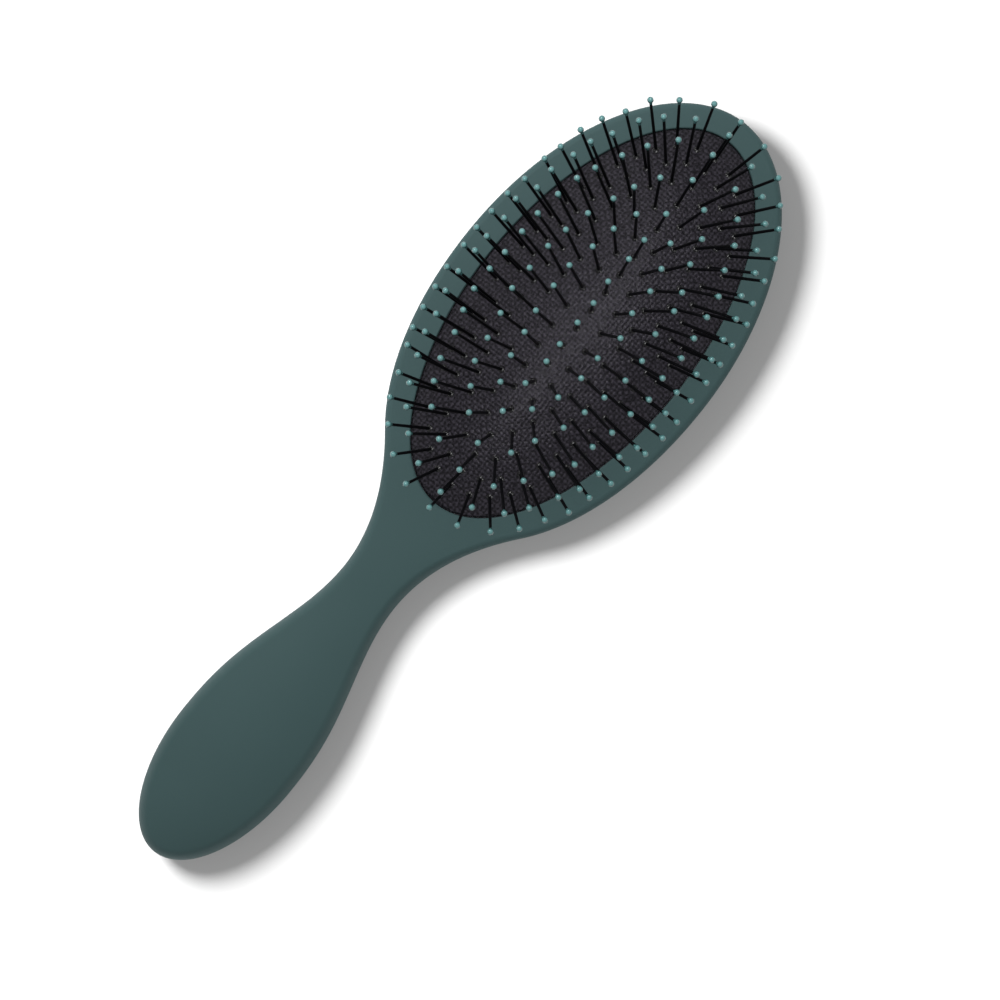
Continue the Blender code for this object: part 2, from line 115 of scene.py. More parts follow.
# How far the handle's edges draw in, on the pins' side and on the back, and how far its faces swell
GRIP_TOP_EDGE = 0.0030
NECK_TOP_EDGE = 0.0026
HEAD_TOP_EDGE = 0.0018
GRIP_BACK_EDGE = 0.0060
NECK_BACK_EDGE = 0.0068
HEAD_BACK_EDGE = 0.0090
GRIP_CROWN = 0.0032
NECK_CROWN = 0.0006
HEAD_BACK_CROWN = 0.0016
CROWN_REACH = 0.0085
BUTT_REACH = 0.0170

# Recess in the head and the cushion's seat in it
EDGE_ROUND = 0.0004
LIP_THICKNESS = 0.0013
GROOVE_DEPTH = 0.0019
LEDGE_WIDTH = 0.0015
CHAMBER_FLOOR = 0.0045
SEAT_GAP = 0.0003
FLANGE_THICKNESS = 0.0012
OPENING_SEMI_LENGTH = CUSHION_HIGH.x - OPENING.x - GROOVE_DEPTH + SEAT_GAP
OPENING_SEMI_WIDTH = CUSHION_HIGH.y - GROOVE_DEPTH + SEAT_GAP
LIP_BOTTOM = RIM_HEIGHT - LIP_THICKNESS
FLANGE_TOP = LIP_BOTTOM - SEAT_GAP
FLANGE_BOTTOM = FLANGE_TOP - FLANGE_THICKNESS
GROOVE_BOTTOM = FLANGE_BOTTOM - SEAT_GAP

# Rings of pins from the rim inwards, as shares of the opening. Their tips lean outwards by shares of a pin at
# the ends and at the sides, and square to the ring by the fan share.
RING_LENGTH_SHARES = (0.896, 0.821, 0.731, 0.627, 0.490)
RING_WIDTH_SHARES = (0.815, 0.697, 0.545, 0.385, 0.187)
RING_POWERS = (2.12, 2.05, 1.9, 1.7, 1.9)
RING_PINS = (48, 44, 36, 28, 20)
END_LEAN_SHARES = (0.472, 0.412, 0.337, 0.245, 0.140)
SIDE_LEAN_SHARES = (0.545, 0.557, 0.500, 0.343, 0.240)
FAN_SHARES = (0.90, 0.92, 0.75, 0.35, 0.30)
ROW_LENGTH_SHARE = 0.338
ROW_LEAN_SHARE = 0.147
ROW_PINS = 8
ROW_SEMI_LENGTH = OPENING_SEMI_LENGTH * ROW_LENGTH_SHARE

# Backing bands under the membrane
BAND_WIDTH = 0.0024
BAND_THICKNESS = 0.0010
BAND_GAP = 0.0004
ROW_BAND_OVERHANG = 0.0014

# A pin's taper and the sleeve below its ball, as shares of the shank and the ball
SHANK_TAPER_SHARE = 0.88
SLEEVE_LENGTH_SHARE = 1.65
SLEEVE_SWELL_SHARE = 1.12
BALL_END_ANGLE = math.radians(86)

# How finely the round forms are divided
BUTT_STEPS = 40
TAPER_STEPS = 56
FLARE_STEPS = 40
HEAD_STEPS = 110
EDGE_STEPS = 12
ACROSS_STEPS = 14
ROUND_STEPS = 4
OVAL_STEPS = 288
ARC_SAMPLES = 1440
CROWN_STEPS = 7
BAND_STEPS = 96
PIN_SIDES = 12
BALL_SIDES = 20
BALL_STEPS = 11
COLLAR_SIDES = 20
COLLAR_STEPS = 6
HALVINGS = 24
SMOOTH_ANGLE = math.radians(38)
MERGE_DISTANCE = 1e-6

# Seed of the small irregularities
LEAN_SEED = 11


class HandleSettings(bpy.types.PropertyGroup):
    """Sizes and coating of the handle"""

    grip_width: FloatProperty(
        name="Grip width", description="Width of the grip at its widest place",
        default=0.0341, min=0.02, max=0.06, unit="LENGTH", precision=4)
    neck_width: FloatProperty(
        name="Neck width", description="Width of the neck at its narrowest place",
        default=0.0166, min=0.008, max=0.03, unit="LENGTH", precision=4)
    coating: FloatVectorProperty(
        name="Coating", description="Colour of the soft-touch coating",
        default=(0.0525, 0.0955, 0.0970), min=0.0, max=1.0, subtype="COLOR")
    coating_roughness: FloatProperty(
        name="Coating roughness", description="How matt the soft-touch coating is",
        default=0.56, min=0.0, max=1.0, subtype="FACTOR")
    grain: FloatProperty(
        name="Grain", description="Depth of the coating's fine grain",
        default=0.00002, min=0.0, max=0.001, unit="LENGTH", precision=5)


class CushionSettings(bpy.types.PropertyGroup):
    """Sizes and rubber of the cushion"""

    membrane: FloatProperty(
        name="Membrane", description="Thickness of the cushion's membrane",
        default=0.0015, min=0.0008, max=0.003, unit="LENGTH", precision=4)
    mesh_pitch: FloatProperty(
        name="Mesh pitch", description="Distance between the raised dots of the moulded mesh",
        default=0.00102, min=0.0004, max=0.003, unit="LENGTH", precision=5)
    mesh_relief: FloatProperty(
        name="Mesh relief", description="How far the dots stand out of the rubber",
        default=0.00014, min=0.0, max=0.001, unit="LENGTH", precision=5)
    collar_radius: FloatProperty(
        name="Collar radius", description="Radius of the raised collar round the foot of each pin",
        default=0.00090, min=0.0006, max=0.002, unit="LENGTH", precision=5)
    collar_height: FloatProperty(
        name="Collar height", description="How far the collar stands out of the rubber",
        default=0.00038, min=0.0001, max=0.0008, unit="LENGTH", precision=5)
    rubber: FloatVectorProperty(
        name="Rubber", description="Colour of the rubber between the dots",
        default=(0.0020, 0.0018, 0.0025), min=0.0, max=1.0, subtype="COLOR")
    dots: FloatVectorProperty(
        name="Dots", description="Colour of the raised dots",
        default=(0.0260, 0.0238, 0.0305), min=0.0, max=1.0, subtype="COLOR")
    fill: FloatProperty(
        name="Fill", description="How tight the air holds the cushion",
        default=0.8, min=0.0, max=1.0, subtype="FACTOR")


class PinSettings(bpy.types.PropertyGroup):
    """Sizes and finishes of the pins"""

    length: FloatProperty(
        name="Pin length", description="Length of a pin from the cushion to its tip",
        default=0.0190, min=0.01, max=0.03, unit="LENGTH", precision=4)
    shank: FloatProperty(
        name="Shank", description="Thickness of a pin's shank at its foot",
        default=0.00082, min=0.0005, max=0.002, unit="LENGTH", precision=5)
    ball: FloatProperty(
        name="Ball", description="Radius of the ball at a pin's tip",
        default=0.00080, min=0.0005, max=0.002, unit="LENGTH", precision=5)
    spread: FloatProperty(
        name="Spread", description="How far a tip strays from its regular place",
        default=0.00038, min=0.0, max=0.002, unit="LENGTH", precision=5)
    nylon: FloatVectorProperty(
        name="Nylon", description="Colour of the shanks",
        default=(0.0030, 0.0031, 0.0038), min=0.0, max=1.0, subtype="COLOR")
    tips: FloatVectorProperty(
        name="Tips", description="Colour of the dipped tips",
        default=(0.0980, 0.2560, 0.2560), min=0.0, max=1.0, subtype="COLOR")


class StageSettings(bpy.types.PropertyGroup):
    """Floor, light and camera"""

    floor: FloatProperty(
        name="Floor", description="Width of the floor",
        default=4.0, min=0.5, max=20.0, unit="LENGTH")
    distance: FloatProperty(
        name="Camera height", description="Height of the camera over the floor",
        default=0.708, min=0.3, max=5.0, unit="LENGTH")
    lens: FloatProperty(
        name="Lens", description="Focal length of the camera in millimetres",
        default=100.25, min=20.0, max=300.0)
    sky: FloatProperty(
        name="Sky", description="Strength of the even light from all round",
        default=0.50, min=0.0, max=2.0)
    side: FloatProperty(
        name="Side lamp", description="Power of the lamp that lights the handle and the pins, in watts",
        default=0.68, min=0.0, max=100.0)
    overhead: FloatProperty(
        name="Overhead lamp", description="Power of the lamp that makes the cushion's sheen, in watts",
        default=0.70, min=0.0, max=100.0)
    far: FloatProperty(
        name="Far lamp", description="Power of the lamp beyond the head that lights the cushion, in watts",
        default=0.45, min=0.0, max=100.0)
    glint: FloatProperty(
        name="Glint lamp", description="Power of the low lamp that glints on the cushion's collars, in watts",
        default=0.80, min=0.0, max=100.0)
    key: FloatProperty(
        name="Key lamp", description="Power of the lamp that throws the shadow on the floor, in watts",
        default=10.8, min=0.0, max=200.0)


class Sum:
    """A value in a shader, which works in Python sums: each operator adds its Math node."""

    def __init__(self, tree, socket):
        self.tree = tree
        self.socket = socket

    def math(self, operation, *values):
        node = self.tree.nodes.new("ShaderNodeMath")
        node.operation = operation
        for place, value in zip(node.inputs, values):
            if isinstance(value, Sum):
                self.tree.links.new(value.socket, place)
            else:
                place.default_value = value
        return Sum(self.tree, node.outputs["Value"])

    def __add__(self, other):
        return self.math("ADD", self, other)

    def __radd__(self, other):
        return self.math("ADD", other, self)

    def __sub__(self, other):
        return self.math("SUBTRACT", self, other)

    def __rsub__(self, other):
        return self.math("SUBTRACT", other, self)

    def __mul__(self, other):
        return self.math("MULTIPLY", self, other)

    def __rmul__(self, other):
        return self.math("MULTIPLY", other, self)

    def __truediv__(self, other):
        return self.math("DIVIDE", self, other)

    def __rtruediv__(self, other):
        return self.math("DIVIDE", other, self)

    def cosine(self):
        return self.math("COSINE", self)

    def clamped(self):
        return self.math("MINIMUM", self.math("MAXIMUM", self, 0.0), 1.0)


class Shader:
    """The nodes of a material or of the world."""

    def __init__(self, owner):
        owner.use_nodes = True
        self.tree = owner.node_tree
        self.tree.nodes.clear()

    def node(self, kind, settings=None, sockets=None):
        """A node of that type: its settings are set first, then its sockets' values or links."""
        made = self.tree.nodes.new(kind)
        for name, value in (settings or {}).items():
            setattr(made, name, value)
        for name, value in (sockets or {}).items():
            if isinstance(value, Sum):
                value = value.socket
            if isinstance(value, bpy.types.NodeSocket):
                self.tree.links.new(value, made.inputs[name])
            else:
                made.inputs[name].default_value = value
        return made

    def value(self, kind, output, settings=None, sockets=None):
        return Sum(self.tree, self.node(kind, settings, sockets).outputs[output])

    def position(self):
        """The place on the piece in its own frame, in metres."""
        return self.node("ShaderNodeTexCoord").outputs["Object"]

    def direction(self):
        """The direction in which the world is seen."""
        return self.node("ShaderNodeTexCoord").outputs["Generated"]

    def part(self, vector, axis):
        """One part of a vector, by its axis."""
        return self.value("ShaderNodeSeparateXYZ", axis, None, {"Vector": vector})

    def seen(self):
        """1 where the camera sees it, straight or through gloss or glass, and 0 where it only sheds light."""
        path = self.node("ShaderNodeLightPath")
        camera, glossy, through = (Sum(self.tree, path.outputs[f"Is {kind} Ray"])
                                   for kind in ("Camera", "Glossy", "Transmission"))
        return (camera + glossy + through).clamped()

    def noise(self, size, detail=2.0):
        """Even noise whose patches are about that size."""
        return self.value("ShaderNodeTexNoise", "Fac", None, {
            "Vector": self.position(), "Scale": 1 / size, "Detail": detail, "Roughness": 0.5})

    def mix(self, factor, first, second):
        """A colour between two others."""
        made = self.node("ShaderNodeMix", {"data_type": "RGBA", "clamp_factor": True},
                         {MIX_FACTOR: factor, MIX_FIRST: first, MIX_SECOND: second})
        return made.outputs[MIX_RESULT]

    def tones(self, factor, colour, shares):
        """A colour between its darkest and lightest shares."""
        return self.mix(factor, rgba(colour, shares[0]), rgba(colour, shares[1]))

    def bump(self, height, distance):
        made = self.node("ShaderNodeBump", None, {"Height": height, "Distance": distance, "Strength": 1.0})
        return made.outputs["Normal"]

    def surface(self, sockets):
        """The Principled shader of a material, joined to its output."""
        shader = self.node("ShaderNodeBsdfPrincipled", None, sockets)
        self.node("ShaderNodeOutputMaterial", None, {"Surface": shader.outputs["BSDF"]})


# Inputs and output of the Mix node that take and give colours
MIX_FACTOR, MIX_FIRST, MIX_SECOND = 0, 6, 7
MIX_RESULT = 2

# Finishes: sizes of the patches in metres, darkest and lightest shares of a colour, gloss and relief
FINE_DETAIL = 3.0
CLOUD_SIZE = 0.030
GRAIN_SIZE = 0.0004
CLOUD_SHARE = 0.75
COATING_TONES = (0.93, 1.07)
CLOUD_ROUGHNESS = 0.06
COATING_SPECULAR = 0.10
DUST_SIZE = 0.0006
DOT_LINK = 0.7
DUST_CONTRAST = 8.0
DUST_FLOOR = 2.7
RUBBER_ROUGHNESS = 0.34
DOT_POLISH = 0.16
RUBBER_SPECULAR = 0.10
RUBBER_TINT = (0.94, 0.91, 1.0, 1.0)
DOT_RELIEF = 0.8
DUST_RELIEF = 1.4
COLLAR_DUST_SIZE = 0.0012
COLLAR_TONES = (0.8, 1.2)
COLLAR_ROUGHNESS = 0.14
COLLAR_UNEVENNESS = 0.08
COLLAR_SPECULAR = 0.25
STREAK_SIZE = 0.0020
NYLON_TONES = (0.8, 1.3)
NYLON_ROUGHNESS = 0.36
NYLON_UNEVENNESS = 0.10
NYLON_SPECULAR = 0.06
PAINT_SIZE = 0.0016
PAINT_TONES = (0.95, 1.35)
# Share of the tip colour left on the balls' undersides, a painted shade
UNDERSIDE_PAINTED_SHADE = 0.10
PAINT_ROUGHNESS = 0.16


def rgba(colour, share=1.0):
    """A colour with its brightness times a share, as a socket takes it."""
    return (colour[0] * share, colour[1] * share, colour[2] * share, 1.0)


def soft_touch_coating(settings):
    """Matt coating with very soft clouds and a fine grain."""
    material = bpy.data.materials.new("soft_touch")
    shader = Shader(material)
    clouds = shader.noise(CLOUD_SIZE)
    grain = shader.noise(GRAIN_SIZE, FINE_DETAIL)
    tone = (clouds * CLOUD_SHARE + grain * (1 - CLOUD_SHARE)).clamped()
    shader.surface({
        "Base Color": shader.tones(tone, settings.coating, COATING_TONES),
        "Roughness": settings.coating_roughness - CLOUD_ROUGHNESS / 2 + clouds * CLOUD_ROUGHNESS,
        "Specular IOR Level": COATING_SPECULAR,
        "Normal": shader.bump(grain, settings.grain),
    })
    return material


def mesh_rubber(settings):
    """Dark rubber with a moulded mesh of raised dots on a square grid, every other dot stronger."""
    material = bpy.data.materials.new("cushion_rubber")
    shader = Shader(material)
    place = shader.position()
    turn = math.pi / settings.mesh_pitch
    along = (shader.part(place, "X") * turn).cosine()
    across = (shader.part(place, "Y") * turn).cosine()
    dots = (along * across * DOT_LINK + along * along + across * across) / (2 + DOT_LINK)
    dust = shader.noise(DUST_SIZE, FINE_DETAIL)
    tone = (dots * (dust * DUST_CONTRAST - DUST_FLOOR)).clamped()
    shader.surface({
        "Base Color": shader.mix(tone, rgba(settings.rubber), rgba(settings.dots)),
        "Roughness": RUBBER_ROUGHNESS - tone * DOT_POLISH,
        "Specular IOR Level": RUBBER_SPECULAR,
        "Specular Tint": RUBBER_TINT,
        "Normal": shader.bump(dots * DOT_RELIEF + dust * DUST_RELIEF, settings.mesh_relief),
    })
    return material


def plain_rubber(settings):
    """Smooth, shinier rubber of the collars."""
    material = bpy.data.materials.new("collar_rubber")
    shader = Shader(material)
    dust = shader.noise(COLLAR_DUST_SIZE)
    shader.surface({
        "Base Color": shader.tones(dust, settings.rubber, COLLAR_TONES),
        "Roughness": COLLAR_ROUGHNESS + dust * COLLAR_UNEVENNESS,
        "Specular IOR Level": COLLAR_SPECULAR,
    })
    return material


def satin_nylon(settings):
    """Near-black nylon, a little uneven in its gloss."""
    material = bpy.data.materials.new("pin_nylon")
    shader = Shader(material)
    streaks = shader.noise(STREAK_SIZE)
    shader.surface({
        "Base Color": shader.tones(streaks, settings.nylon, NYLON_TONES),
        "Roughness": NYLON_ROUGHNESS + streaks * NYLON_UNEVENNESS,
        "Specular IOR Level": NYLON_SPECULAR,
    })
    return material


def dipped_tip(settings):
    """Glossy paint of the dipped balls, a little uneven, with painted shade: lighter where the ball faces up,
    dark underneath.
    """
    material = bpy.data.materials.new("ball_tips")
    shader = Shader(material)
    thin = shader.noise(PAINT_SIZE)
    # Painted shade: the balls' colour follows how far the surface faces up, lighter on top and dark
    # underneath
    top = shader.part(shader.node("ShaderNodeTexCoord").outputs["Normal"], "Z").clamped()
    paint = shader.tones(thin, settings.tips, PAINT_TONES)
    shader.surface({
        "Base Color": shader.mix(top, rgba(settings.tips, UNDERSIDE_PAINTED_SHADE), paint),
        "Roughness": PAINT_ROUGHNESS,
    })
    return material


class Form:
    """Points and faces of a piece while it is built up."""

    def __init__(self):
        self.points = []
        self.faces = []
        self.finishes = []

    def loop(self, places):
        start = len(self.points)
        self.points.extend(places)
        return list(range(start, len(self.points)))

    def face(self, corners, finish=0):
        corners = [corner for i, corner in enumerate(corners) if corner != corners[i - 1]]
        if len(corners) > 2:
            self.faces.append(corners)
            self.finishes.append(finish)

    def bridge(self, first, second, finish=0):
        """Quads between two closed loops."""
        for i in range(len(first)):
            after = (i + 1) % len(first)
            self.face((first[i], first[after], second[after], second[i]), finish)

    def tube(self, loops, finish=0, ring=False):
        """A skin through closed loops: capped at both ends, or joined up as a ring."""
        for first, second in zip(loops, loops[1:]):
            self.bridge(first, second, finish)
        if ring:
            self.bridge(loops[-1], loops[0], finish)
        else:
            self.face(loops[0], finish)
            self.face(loops[-1], finish)

    def piece(self, name, materials):
        """A smooth object of the form, with its faces pointing out."""
        mesh = bpy.data.meshes.new(name)
        mesh.from_pydata(self.points, [], self.faces)
        mesh.polygons.foreach_set("material_index", self.finishes)
        form = bmesh.new()
        form.from_mesh(mesh)
        bmesh.ops.remove_doubles(form, verts=form.verts, dist=MERGE_DISTANCE)
        bmesh.ops.recalc_face_normals(form, faces=form.faces)
        form.to_mesh(mesh)
        form.free()
        for material in materials:
            mesh.materials.append(material)
        mesh.shade_smooth()
        mesh.set_sharp_from_angle(angle=SMOOTH_ANGLE)
        item = bpy.data.objects.new(name, mesh)
        shelf(BRUSH_SHELF).objects.link(item)
        return item


# Collections of the pieces, of the stage, and of what lamps light or are blocked by
BRUSH_SHELF = "brush"
STAGE_SHELF = "stage"
SHADOW_SHELF = "shadow"
HARD_SHELF = "hard pieces"
CUSHION_SHELF = "cushion"
COLLAR_SHELF = "collars"


def shelf(name):
    """The collection of that name, made when it is first asked for."""
    found = bpy.data.collections.get(name)
    if found is None:
        found = bpy.data.collections.new(name)
        bpy.context.scene.collection.children.link(found)
    return found


def smooth_step(share):
    share = min(max(share, 0.0), 1.0)
    return share * share * (3 - 2 * share)


def along_handle(x, grip, neck, head):
    """A size that changes smoothly from the grip to the neck and on to the head."""
    if x < NECK_X:
        return grip + (neck - grip) * smooth_step((x - GRIP_X) / (NECK_X - GRIP_X))
    return neck + (head - neck) * smooth_step((x - NECK_X) / (JOIN_X - NECK_X))


def half_outline(settings):
    """One side of the handle's outline, from the butt to the tip of the head."""
    grip = settings.grip_width / 2
    neck = settings.neck_width / 2
    points = []
    for i in range(BUTT_STEPS):
        angle = math.pi * (1 - i / BUTT_STEPS / 2)
        points.append(Vector((GRIP_X + GRIP_FROM_BUTT * math.cos(angle), grip * math.sin(angle))))
    for i in range(TAPER_STEPS):
        share = i / TAPER_STEPS
        half = neck + (grip - neck) * (1 + math.cos(math.pi * share ** TAPER_POWER)) / 2
        points.append(Vector((GRIP_X + (NECK_X - GRIP_X) * share, half)))
    for i in range(FLARE_STEPS):
        share = i / FLARE_STEPS
        half = neck + (JOIN_HALF_WIDTH - neck) * share ** 2
        points.append(Vector((NECK_X + (JOIN_X - NECK_X) * share, half)))
    start = math.acos(-HEAD_JOIN_SHARE ** (HEAD_NECK_SIDE_POWER / 2))
    for i in range(HEAD_STEPS + 1):
        angle = start * (1 - i / HEAD_STEPS)
        power = HEAD_NECK_SIDE_POWER if angle > math.pi / 2 else 2.0
        points.append(Vector((HEAD_X, 0.0)) + superoval(HEAD_SEMI_LENGTH, HEAD_SEMI_WIDTH, power, angle))
    return points


def outward_directions(points):
    directions = [Vector((-1, 0))]
    for before, after in zip(points, points[2:]):
        along = after - before
        directions.append(Vector((-along.y, along.x)).normalized())
    directions.append(Vector((1, 0)))
    return directions


class Side:
    """The pins' side or the back of the handle: how its edge draws in and its face swells at each place."""

    def __init__(self, settings, top):
        self.top = top
        self.grip = settings.grip_width / 2
        self.points = half_outline(settings)
        self.outward = outward_directions(self.points)

    def place(self, i, turn, across=1.0):
        """A point at an angle of turn round the edge, or on the face between the edges for across below 1."""
        point = self.points[i]
        rise = along_handle(point.x, GRIP_HEIGHT, NECK_HEIGHT, RIM_HEIGHT)
        middle = rise * along_handle(point.x, GRIP_WIDEST_SHARE, GRIP_WIDEST_SHARE, HEAD_WIDEST_SHARE)
        if self.top:
            edge = along_handle(point.x, GRIP_TOP_EDGE, NECK_TOP_EDGE, HEAD_TOP_EDGE)
            limit = rise
            swell = along_handle(point.x, GRIP_CROWN, NECK_CROWN, 0.0)
        else:
            edge = along_handle(point.x, GRIP_BACK_EDGE, NECK_BACK_EDGE, HEAD_BACK_EDGE)
            limit = along_handle(point.x, GRIP_CROWN, NECK_CLEARANCE + NECK_CROWN, HEAD_BACK_CROWN)
            swell = -along_handle(point.x, GRIP_CROWN, NECK_CROWN, HEAD_BACK_CROWN)
        place = point - self.outward[i] * edge * (1 - math.cos(turn))
        y = max(place.y, 0.0) * across
        if place.x < GRIP_X:
            width = self.grip * math.sqrt(max(1 - ((GRIP_X - place.x) / GRIP_FROM_BUTT) ** 2, 0.0))
            swell *= 1 - max(1 - (place.x - BUTT_X) / BUTT_REACH, 0.0) ** 2
        else:
            width = point.y
            inner = max((point - self.outward[i] * edge).y, 0.0)
            swell *= smooth_step(inner / CROWN_REACH)
        swell *= 1 - (y / max(width, MERGE_DISTANCE)) ** 2
        return place.x, y, middle + (limit - middle) * math.sin(turn) + swell

    def loop(self, form, turn):
        """A closed loop round the handle at that angle of turn."""
        side = [self.place(i, turn) for i in range(len(self.points))]
        return form.loop(side + [(x, -y, z) for x, y, z in reversed(side[1:-1])])

    def close(self, form, loop):
        """The face across the handle inside its innermost loop."""
        count = len(self.points)
        quarter = math.pi / 2
        columns = [[loop[i] for i in range(count)]]
        for step in range(1, ACROSS_STEPS):
            across = 1 - 2 * step / ACROSS_STEPS
            column = form.loop([self.place(i, quarter, across) for i in range(count)])
            column[0] = loop[0]
            column[-1] = loop[count - 1]
            columns.append(column)
        columns.append([loop[0]] + [loop[-i] for i in range(1, count - 1)] + [loop[count - 1]])
        for left, right in zip(columns, columns[1:]):
            for i in range(count - 1):
                form.face((left[i], left[i + 1], right[i + 1], right[i]))


def superoval(semi_length, semi_width, power, angle):
    """A point of an oval: power 2 is an ellipse, and less draws its shoulders in."""
    across = math.cos(angle)
    up = math.sin(angle)
    x = semi_length * math.copysign(abs(across) ** (2 / power), across)
    y = semi_width * math.copysign(abs(up) ** (2 / power), up)
    return Vector((x, y))


class Oval:
    """An oval round the opening's centre that is read by the share of the way round it."""

    def __init__(self, semi_length, semi_width, power=2.0):
        angles = [2 * math.pi * i / ARC_SAMPLES for i in range(ARC_SAMPLES + 1)]
        self.points = [superoval(semi_length, semi_width, power, angle) for angle in angles]
        self.run = [0.0]
        for before, after in zip(self.points, self.points[1:]):
            self.run.append(self.run[-1] + (after - before).length)

    def at(self, share):
        wanted = (share % 1.0) * self.run[-1]
        low, high = 0, ARC_SAMPLES
        while high - low > 1:
            middle = (low + high) // 2
            if self.run[middle] <= wanted:
                low = middle
            else:
                high = middle
        part = (wanted - self.run[low]) / max(self.run[high] - self.run[low], MERGE_DISTANCE ** 2)
        return self.points[low].lerp(self.points[high], part)

    def outward(self, share):
        step = 1 / OVAL_STEPS
        along = self.at(share + step) - self.at(share - step)
        return Vector((along.y, -along.x)).normalized()

    def around(self, height, steps=OVAL_STEPS):
        """Places all round the oval at a height."""
        spots = [self.at(i / steps) for i in range(steps)]
        return [(OPENING.x + spot.x, spot.y, height) for spot in spots]


class Crown:
    """The cushion's outer face, which runs through its edge, the rings and the centre row as level lines."""

    def __init__(self):
        self.lines = [(OPENING_SEMI_LENGTH, OPENING_SEMI_WIDTH, 2.0)]
        for length_share, width_share, power in zip(RING_LENGTH_SHARES, RING_WIDTH_SHARES, RING_POWERS):
            self.lines.append((OPENING_SEMI_LENGTH * length_share, OPENING_SEMI_WIDTH * width_share, power))
        self.lines.append((ROW_SEMI_LENGTH, 0.0, RING_POWERS[-1]))
        self.last = len(self.lines) - 1

    def line(self, level):
        """The line at a level, 0 at the edge and 1 more for each ring, on a smooth curve through them all."""
        first = min(int(level), self.last - 1)
        t = level - first
        a, b, c, d = (self.lines[min(max(first + i, 0), self.last)] for i in (-1, 0, 1, 2))
        found = []
        for p, q, r, s in zip(a, b, c, d):
            curve = 2 * q + (r - p) * t + (2 * p - 5 * q + 4 * r - s) * t ** 2
            curve += (3 * q - p - 3 * r + s) * t ** 3
            found.append(curve / 2)
        return found[0], max(found[1], 0.0), found[2]

    def level_height(self, semi_width):
        return RIM_HEIGHT + CROWN_HEIGHT * (1 - (semi_width / OPENING_SEMI_WIDTH) ** 2)

    def inside(self, x, y, level):
        semi_length, semi_width, power = self.line(level)
        reach = (abs(x) / semi_length) ** power + (abs(y) / max(semi_width, MERGE_DISTANCE)) ** power
        return reach <= 1

    def height(self, x, y):
        """Height of the outer face over a point of the head's plane."""
        low, high = 0.0, float(self.last)
        for _ in range(HALVINGS):
            middle = (low + high) / 2
            if self.inside(x, y, middle):
                low = middle
            else:
                high = middle
        return self.level_height(self.line(low)[1])

    def normal(self, x, y):
        step = BAND_GAP
        slope_x = (self.height(x + step, y) - self.height(x - step, y)) / (2 * step)
        slope_y = (self.height(x, y + step) - self.height(x, y - step)) / (2 * step)
        return Vector((-slope_x, -slope_y, 1)).normalized()


CROWN = Crown()


class Pin:
    """Where a pin stands and where it points."""

    def __init__(self, spot, lean, length):
        self.foot = Vector((OPENING.x + spot.x, spot.y, CROWN.height(spot.x, spot.y)))
        self.lean = lean
        self.length = length
        rise = math.sqrt(length ** 2 - lean.length_squared)
        self.direction = Vector((lean.x, lean.y, rise)).normalized()
        self.along = Vector((0, 1, 0)).cross(self.direction).normalized()
        self.across = self.direction.cross(self.along)

    def ring(self, height, radius, sides):
        """Places round the pin at a height above its foot."""
        centre = self.foot + self.direction * height
        places = []
        for i in range(sides):
            angle = 2 * math.pi * i / sides
            side = self.along * radius * math.cos(angle)
            places.append(centre + side + self.across * radius * math.sin(angle))
        return places


def ring_pins(number, settings, straying):
    """The pins of one ring, evenly spaced from the tip of the head, each with its own small stray."""
    length_share, width_share = RING_LENGTH_SHARES[number], RING_WIDTH_SHARES[number]
    oval = ring_oval(number)
    pins = []
    for i in range(RING_PINS[number]):
        spot = oval.at(i / RING_PINS[number])
        away = Vector((spot.x / OPENING_SEMI_LENGTH / length_share,
                       spot.y / OPENING_SEMI_WIDTH / width_share))
        way = away.normalized().lerp(oval.outward(i / RING_PINS[number]), FAN_SHARES[number]).normalized()
        share = END_LEAN_SHARES[number] * way.x ** 2 + SIDE_LEAN_SHARES[number] * way.y ** 2
        lean = way * settings.length * share + stray(straying, settings.spread)
        pins.append(Pin(spot, lean, settings.length))
    return pins


def row_pins(settings, straying):
    """The pins of the straight row along the middle."""
    pins = []
    for i in range(ROW_PINS):
        share = 1 - 2 * i / (ROW_PINS - 1)
        lean = Vector((settings.length * ROW_LEAN_SHARE * share, 0.0))
        spot = Vector((ROW_SEMI_LENGTH * share, 0.0))
        pins.append(Pin(spot, lean + stray(straying, settings.spread), settings.length))
    return pins


def stray(straying, spread):
    return Vector((straying.gauss(0.0, spread), straying.gauss(0.0, spread)))


def all_pins(settings):
    """The pins of each body of the frame, by the body's name. The same seed strays them alike each time."""
    straying = random.Random(LEAN_SEED)
    found = {f"ring_{number + 1}": ring_pins(number, settings, straying) for number in range(len(RING_PINS))}
    found["centre_row"] = row_pins(settings, straying)
    return found


def bake_modifiers(item):
    """Makes the mesh with its modifiers the piece's own mesh."""
    graph = bpy.context.evaluated_depsgraph_get()
    mesh = bpy.data.meshes.new_from_object(item.evaluated_get(graph))
    item.modifiers.clear()
    item.data = mesh


def oval_loops(form, levels):
    """Loops round the opening, each from how far it lies outside the opening's edge and its height."""
    loops = []
    for outset, height in levels:
        oval = Oval(OPENING_SEMI_LENGTH + outset, OPENING_SEMI_WIDTH + outset)
        loops.append(form.loop(oval.around(height)))
    return loops


def ring_oval(number):
    """The oval on which a ring of pins stands."""
    return Oval(OPENING_SEMI_LENGTH * RING_LENGTH_SHARES[number],
                OPENING_SEMI_WIDTH * RING_WIDTH_SHARES[number], RING_POWERS[number])


